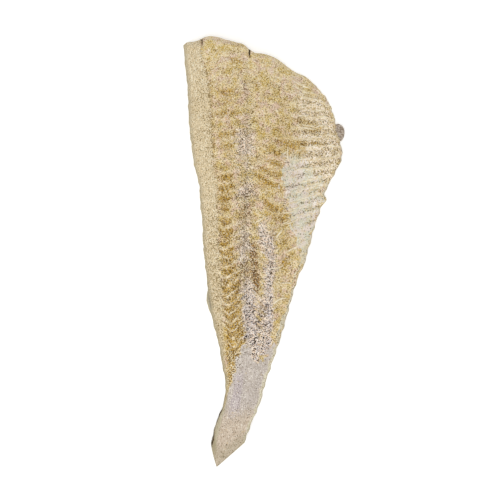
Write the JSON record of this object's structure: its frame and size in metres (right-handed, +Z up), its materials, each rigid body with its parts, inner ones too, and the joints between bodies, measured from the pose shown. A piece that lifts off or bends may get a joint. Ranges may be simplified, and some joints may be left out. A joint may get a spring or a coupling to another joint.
{
  "type": "salted dried cod side",
  "caption": "Boned side of salted dried cod, skin down, with herringbone flakes, thick loin, thin belly flap and narrow tail.",
  "frame": {"origin": "under the middle of the piece's box, on the surface that it lies on", "axes": "+Y towards the head end, +X towards the belly edge, +Z up, away from the skin"},
  "size_m": [0.18, 0.4806, 0.0277],
  "materials": {
    "flesh": "dry, fibrous cream to golden flesh with a dull bloom of fine salt",
    "skin": "dry scaled grey-olive fish skin, dull with salt"
  },
  "bodies": {
    "root": {"cod_side": "flesh"}
  },
  "joints": []
}
